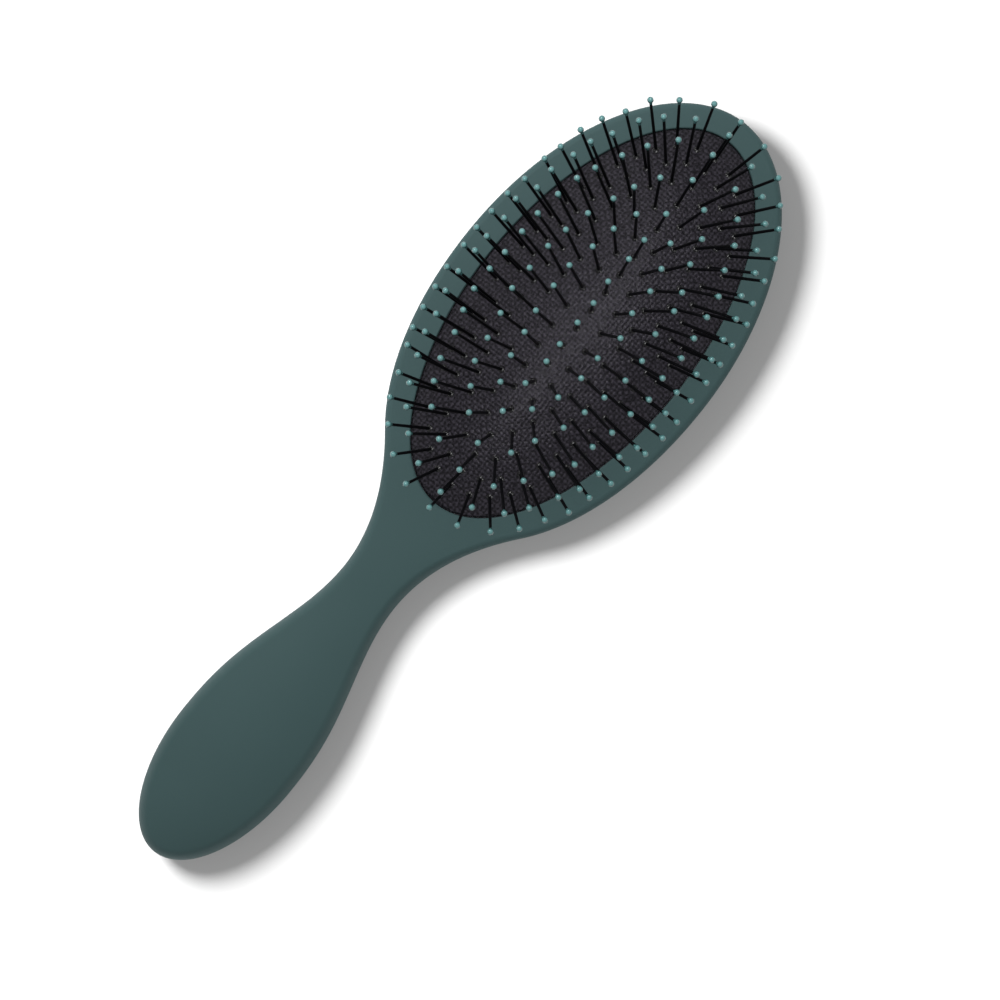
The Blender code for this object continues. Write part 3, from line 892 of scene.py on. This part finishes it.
def recess_form():
    """The space that the head keeps free: its rounded opening, lip, groove and air chamber."""
    levels = [(EDGE_ROUND, RIM_HEIGHT + LIP_THICKNESS)]
    for step in range(ROUND_STEPS + 1):
        turn = math.pi / 2 * (1 - step / ROUND_STEPS)
        levels.append((EDGE_ROUND * (1 - math.cos(turn)), RIM_HEIGHT - EDGE_ROUND * (1 - math.sin(turn))))
    levels += [
        (0.0, LIP_BOTTOM),
        (GROOVE_DEPTH, LIP_BOTTOM),
        (GROOVE_DEPTH, GROOVE_BOTTOM),
        (-LEDGE_WIDTH, GROOVE_BOTTOM),
        (-LEDGE_WIDTH, CHAMBER_FLOOR),
    ]
    form = Form()
    form.tube(oval_loops(form, levels))
    return form


class HAIRBRUSH_OT_handle(bpy.types.Operator):
    """Build the soft-touch handle with the recess in its head"""

    bl_idname = "hairbrush.handle"
    bl_label = "Handle"

    def execute(self, context):
        settings = context.scene.hairbrush_handle
        form = Form()
        top, back = Side(settings, True), Side(settings, False)
        turns = [math.pi / 2 * i / EDGE_STEPS for i in range(EDGE_STEPS + 1)]
        loops = [top.loop(form, turn) for turn in reversed(turns)]
        loops += [back.loop(form, turn) for turn in turns[1:]]
        for first, second in zip(loops, loops[1:]):
            form.bridge(first, second)
        top.close(form, loops[0])
        back.close(form, loops[-1])
        handle = form.piece("handle", [soft_touch_coating(settings)])
        cutter = recess_form().piece("recess", [])
        boolean = handle.modifiers.new("recess", "BOOLEAN")
        boolean.operation = "DIFFERENCE"
        boolean.solver = "EXACT"
        boolean.object = cutter
        handle.modifiers.new("normals", "WEIGHTED_NORMAL").keep_sharp = True
        bake_modifiers(handle)
        bpy.data.objects.remove(cutter)
        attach(handle, "handle")
        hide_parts("handle_body")
        return {"FINISHED"}


class HAIRBRUSH_OT_cushion(bpy.types.Operator):
    """Build the domed cushion with its collars and its flange in the groove"""

    bl_idname = "hairbrush.cushion"
    bl_label = "Cushion"

    def execute(self, context):
        settings = context.scene.hairbrush_cushion
        rubber, plain = mesh_rubber(settings), plain_rubber(settings)
        dome = self.build_dome(settings, rubber)
        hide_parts("cushion")
        collars = self.build_collars(settings, plain, all_pins(context.scene.hairbrush_pins))
        for soft in (dome, collars):
            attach(soft, "handle")
            (CROWN_HEIGHT - PRESS_TRAVEL) / CROWN_HEIGHT
            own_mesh(soft)
        flange = self.build_flange(settings, rubber)
        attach(flange, "handle")
        return {"FINISHED"}

    def build_dome(self, settings, material):
        """The membrane between its outer and inner faces."""
        form = Form()
        edge = (OPENING_SEMI_LENGTH - SEAT_GAP, OPENING_SEMI_WIDTH - SEAT_GAP)
        inner = (edge[0] - settings.membrane, edge[1] - settings.membrane)
        levels = [level / CROWN_STEPS for level in range(1, CROWN.last * CROWN_STEPS + 1)]
        lines = [CROWN.line(level) for level in levels]
        loops = [form.loop(Oval(*edge).around(RIM_HEIGHT - SEAT_GAP))]
        for line in lines:
            loops.append(form.loop(Oval(*line).around(CROWN.level_height(line[1]))))
        for line in reversed(lines):
            if line[1] < inner[1] and line[0] < inner[0]:
                loops.append(form.loop(Oval(*line).around(CROWN.level_height(line[1]) - settings.membrane)))
        loops.append(form.loop(Oval(*inner).around(RIM_HEIGHT - SEAT_GAP)))
        middle = len(lines)
        for i in range(len(loops)):
            if i != middle:
                form.bridge(loops[i], loops[(i + 1) % len(loops)])
        return form.piece("cushion_dome", [material])

    def build_collars(self, settings, material, pins):
        """The collar round the foot of each pin."""
        form = Form()
        for group in pins.values():
            for pin in group:
                self.add_collar(form, pin, settings)
        return form.piece("cushion_collars", [material])

    def add_collar(self, form, pin, settings):
        """A low round swelling of rubber at the foot of a pin."""
        normal = CROWN.normal(pin.foot.x - OPENING.x, pin.foot.y)
        along = Vector((0, 1, 0)).cross(normal).normalized()
        across = normal.cross(along)
        radius, height = settings.collar_radius, settings.collar_height
        curve = (radius ** 2 + height ** 2) / (2 * height)
        slope = math.asin(radius / curve)
        loops = []
        for step in range(-1, COLLAR_STEPS):
            angle = slope * (1 - max(step, 0) / COLLAR_STEPS)
            rise = height - curve * (1 - math.cos(angle)) if step >= 0 else -height
            places = []
            for i in range(COLLAR_SIDES):
                turn = 2 * math.pi * i / COLLAR_SIDES
                outward = along * math.cos(turn) + across * math.sin(turn)
                places.append(pin.foot + outward * curve * math.sin(angle) + normal * rise)
            loops.append(form.loop(places))
        form.tube(loops)

    def build_flange(self, settings, material):
        """The cushion's foot, which reaches down the opening and out into the groove."""
        form = Form()
        levels = (
            (-SEAT_GAP, RIM_HEIGHT - SEAT_GAP),
            (-SEAT_GAP, FLANGE_TOP),
            (GROOVE_DEPTH - SEAT_GAP, FLANGE_TOP),
            (GROOVE_DEPTH - SEAT_GAP, FLANGE_BOTTOM),
            (-SEAT_GAP - settings.membrane, FLANGE_BOTTOM),
            (-SEAT_GAP - settings.membrane, RIM_HEIGHT - SEAT_GAP),
        )
        form.tube(oval_loops(form, levels), ring=True)
        return form.piece("cushion_flange", [material])


class HAIRBRUSH_OT_pins(bpy.types.Operator):
    """Build the nylon pins of each ring on the band that backs them"""

    bl_idname = "hairbrush.pins"
    bl_label = "Pins"

    def execute(self, context):
        settings = context.scene.hairbrush_pins
        membrane = context.scene.hairbrush_cushion.membrane
        nylon = satin_nylon(settings)
        for number, (body, pins) in enumerate(all_pins(settings).items()):
            form = Form()
            if body == "centre_row":
                self.add_bar(form, membrane)
            else:
                self.add_band(form, number, membrane)
            for pin in pins:
                self.add_shank(form, pin, settings, membrane)
            piece = form.piece(f"pins_{body}", [nylon])
            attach(piece, body)
            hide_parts(*BODIES[body])
        return {"FINISHED"}

    def add_shank(self, form, pin, settings, membrane):
        """A round shank from the backing up into the ball, slightly thinner at its upper end."""
        radius = settings.shank / 2
        root = -(membrane + BAND_GAP + BAND_THICKNESS / 2) / pin.direction.z
        sections = ((root, radius), (0.0, radius), (pin.length - settings.ball, radius * SHANK_TAPER_SHARE))
        form.tube([form.loop(pin.ring(height, width, PIN_SIDES)) for height, width in sections])

    def add_band(self, form, number, membrane):
        """The backing of a ring: a flat band that follows the inside of the membrane."""
        oval = ring_oval(number)
        loops = []
        for i in range(BAND_STEPS):
            share = i / BAND_STEPS
            loops.append(form.loop(self.band_section(oval.at(share), oval.outward(share), membrane)))
        form.tube(loops, ring=True)

    def add_bar(self, form, membrane):
        """The backing of the centre row: a flat bar."""
        reach = ROW_SEMI_LENGTH + ROW_BAND_OVERHANG
        loops = []
        for i in range(BAND_STEPS // 2 + 1):
            spot = Vector((reach * (4 * i / BAND_STEPS - 1), 0.0))
            loops.append(form.loop(self.band_section(spot, Vector((0, 1)), membrane)))
        form.tube(loops)

    def band_section(self, spot, outward, membrane):
        """The four corners of a band across its way."""
        corners = []
        for side, sink in ((1, 0.0), (-1, 0.0), (-1, BAND_THICKNESS), (1, BAND_THICKNESS)):
            place = spot + outward * side * BAND_WIDTH / 2
            height = CROWN.height(place.x, place.y) - membrane - BAND_GAP - sink
            corners.append((OPENING.x + place.x, place.y, height))
        return corners


class HAIRBRUSH_OT_tips(bpy.types.Operator):
    """Build the dipped balls at the tips of the pins"""

    bl_idname = "hairbrush.tips"
    bl_label = "Tips"

    def execute(self, context):
        settings = context.scene.hairbrush_pins
        paint = dipped_tip(settings)
        for body, pins in all_pins(settings).items():
            form = Form()
            for pin in pins:
                self.add_ball(form, pin, settings)
            piece = form.piece(f"tips_{body}", [paint])
            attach(piece, body)
        return {"FINISHED"}

    def add_ball(self, form, pin, settings):
        """A ball with the short sleeve that the dip leaves on the shank."""
        radius = settings.ball
        shank = settings.shank / 2 * SHANK_TAPER_SHARE
        centre = pin.length - radius
        start = -math.acos(shank * SLEEVE_SWELL_SHARE / radius)
        sections = [(centre - radius * SLEEVE_LENGTH_SHARE, shank * (1 + SLEEVE_SWELL_SHARE) / 2)]
        for step in range(BALL_STEPS + 1):
            angle = start + (BALL_END_ANGLE - start) * step / BALL_STEPS
            sections.append((centre + radius * math.sin(angle), radius * math.cos(angle)))
        form.tube([form.loop(pin.ring(height, width, BALL_SIDES)) for height, width in sections])


# The picture's centre on the brush, its right and up directions, and the point under the camera
VIEW_CENTRE = Vector((0.00573, -0.0117, 0.0085))
VIEW_RIGHT = Vector((0.631, -0.776, 0.0)).normalized()
VIEW_UP = Vector((0.776, 0.631, 0.0)).normalized()
CAMERA_FOOT = Vector((-0.0111, -0.0295, 0.0))

# Each lamp by the setting of its power: its place, where it aims, its size and the shelf that it lights
LAMPS = {
    "key": (Vector((-0.033, 0.305, 0.430)), VIEW_CENTRE, (0.20, 0.20), STAGE_SHELF),
    "side": (Vector((0.12, 0.17, 0.29)), VIEW_CENTRE, (0.08, 0.08), HARD_SHELF),
    "overhead": (Vector((0.064, -0.022, 0.30)), Vector((0.064, -0.022, 0.0)), (0.24, 0.09), CUSHION_SHELF),
    "far": (Vector((0.17, 0.26, 0.30)), OPENING, (0.16, 0.16), CUSHION_SHELF),
    "glint": (Vector((0.05, -0.34, 0.22)), OPENING, (0.10, 0.24), COLLAR_SHELF),
}
SHADOW_PIECES = ("handle", "cushion_dome")

# How much brighter the sky is on the lamps' side. The floor's own colour and its glow for the camera near the
# brush, what is added beyond the dim oval round the brush, and how fast that rises
SKY_LEAN = 0.2
FLOOR_ALBEDO = 0.3
FLOOR_GLOW = 0.17
FAR_GLOW = 0.60
DIM_FLOOR = Vector((0.130, 0.060))
GLOW_SLOPE = 0.4


class HAIRBRUSH_OT_stage(bpy.types.Operator):
    """Build the white floor, the soft light and the camera"""

    bl_idname = "hairbrush.stage"
    bl_label = "Stage"

    def execute(self, context):
        settings = context.scene.hairbrush_stage
        context.scene.view_settings.view_transform = "Standard"
        for item in shelf(BRUSH_SHELF).objects:
            if item.name in SHADOW_PIECES:
                shelf(SHADOW_SHELF).objects.link(item)
            if item.name == "cushion_collars":
                shelf(COLLAR_SHELF).objects.link(item)
            shelf(CUSHION_SHELF if item.name.startswith("cushion") else HARD_SHELF).objects.link(item)
        self.add_floor(settings)
        self.add_world(context.scene, settings)
        for name, (place, aim, size, lit) in LAMPS.items():
            self.add_lamp(name, place, aim, size, getattr(settings, name), shelf(lit))
        self.add_camera(context.scene, settings)
        return {"FINISHED"}

    def add_floor(self, settings):
        """A plain floor that shows white to the camera where the key reaches it, and beyond the brush."""
        half = settings.floor / 2
        mesh = bpy.data.meshes.new("floor")
        corners = [(half, half, 0), (-half, half, 0), (-half, -half, 0), (half, -half, 0)]
        mesh.from_pydata(corners, [], [(0, 1, 2, 3)])
        floor = bpy.data.objects.new("floor", mesh)
        shelf(STAGE_SHELF).objects.link(floor)
        material = bpy.data.materials.new("floor")
        shader = Shader(material)
        place = shader.position()
        along = shader.part(place, "X") / DIM_FLOOR.x
        aside = shader.part(place, "Y") / DIM_FLOOR.y
        beyond = ((along * along + aside * aside - 1.0) * GLOW_SLOPE).clamped()
        shader.surface({
            "Base Color": rgba((FLOOR_ALBEDO,) * 3),
            "Roughness": 1.0,
            "Specular IOR Level": 0.0,
            "Emission Color": shader.seen() * (beyond * FAR_GLOW + FLOOR_GLOW),
            "Emission Strength": 1.0,
        })
        mesh.materials.append(material)

    def add_world(self, scene, settings):
        """Soft white light from all round, brighter on the lamps' side, and seen as white, also in gloss."""
        world = bpy.data.worlds.new("studio")
        scene.world = world
        shader = Shader(world)
        light = shader.part(shader.direction(), "Y") * (settings.sky * SKY_LEAN) + settings.sky
        strength = light + shader.seen() * (1.0 - light)
        background = shader.node("ShaderNodeBackground", None, {"Color": (1, 1, 1, 1), "Strength": strength})
        shader.node("ShaderNodeOutputWorld", None, {"Surface": background.outputs["Background"]})

    def add_lamp(self, name, place, aim, size, power, lit):
        """An oval lamp that lights the pieces on one shelf alone."""
        light = bpy.data.lights.new(name, "AREA")
        light.shape = "ELLIPSE"
        light.size, light.size_y = size
        light.energy = power
        lamp = bpy.data.objects.new(name, light)
        shelf(STAGE_SHELF).objects.link(lamp)
        lamp.location = place
        lamp.rotation_euler = (place - aim).to_track_quat("Z", "Y").to_euler()
        lamp.light_linking.receiver_collection = lit
        lamp.light_linking.blocker_collection = shelf(SHADOW_SHELF)

    def add_camera(self, scene, settings):
        """A long lens that looks straight down, shifted to bring the brush to the picture's centre."""
        data = bpy.data.cameras.new("camera")
        data.lens = settings.lens
        camera = bpy.data.objects.new("camera", data)
        shelf(STAGE_SHELF).objects.link(camera)
        axes = Matrix((VIEW_RIGHT, VIEW_UP, (0, 0, 1))).transposed()
        place = CAMERA_FOOT + Vector((0, 0, settings.distance))
        camera.matrix_world = Matrix.Translation(place) @ axes.to_4x4()
        aside = VIEW_CENTRE - place
        reach = settings.lens / data.sensor_width / -aside.z
        data.shift_x = aside.dot(VIEW_RIGHT) * reach
        data.shift_y = aside.dot(VIEW_UP) * reach
        scene.camera = camera


class HAIRBRUSH_PT_pieces(bpy.types.Panel):
    """Sizes, colours and builders of the brush"""

    bl_idname = "HAIRBRUSH_PT_pieces"
    bl_label = "Cushion brush"
    bl_space_type = "VIEW_3D"
    bl_region_type = "UI"
    bl_category = "Hair brush"

    def draw(self, context):
        for operator, group in BUILDERS:
            box = self.layout.box()
            box.operator(operator.bl_idname)
            settings = getattr(context.scene, group)
            for name in settings.__annotations__:
                box.prop(settings, name)


SETTINGS = {
    "hairbrush_handle": HandleSettings,
    "hairbrush_cushion": CushionSettings,
    "hairbrush_pins": PinSettings,
    "hairbrush_stage": StageSettings,
}
BUILDERS = (
    (HAIRBRUSH_OT_handle, "hairbrush_handle"),
    (HAIRBRUSH_OT_cushion, "hairbrush_cushion"),
    (HAIRBRUSH_OT_pins, "hairbrush_pins"),
    (HAIRBRUSH_OT_tips, "hairbrush_pins"),
    (HAIRBRUSH_OT_stage, "hairbrush_stage"),
)


def register():
    for group, settings in SETTINGS.items():
        bpy.utils.register_class(settings)
        setattr(bpy.types.Scene, group, PointerProperty(type=settings))
    for operator, _ in BUILDERS:
        bpy.utils.register_class(operator)
    bpy.utils.register_class(HAIRBRUSH_PT_pieces)


def unregister():
    bpy.utils.unregister_class(HAIRBRUSH_PT_pieces)
    for operator, _ in reversed(BUILDERS):
        bpy.utils.unregister_class(operator)
    for group, settings in reversed(SETTINGS.items()):
        delattr(bpy.types.Scene, group)
        bpy.utils.unregister_class(settings)


def main():
    register()
    bpy.ops.hairbrush.handle()
    bpy.ops.hairbrush.cushion()
    bpy.ops.hairbrush.pins()
    bpy.ops.hairbrush.tips()
    bpy.ops.hairbrush.stage()


if __name__ == "__main__":
    main()
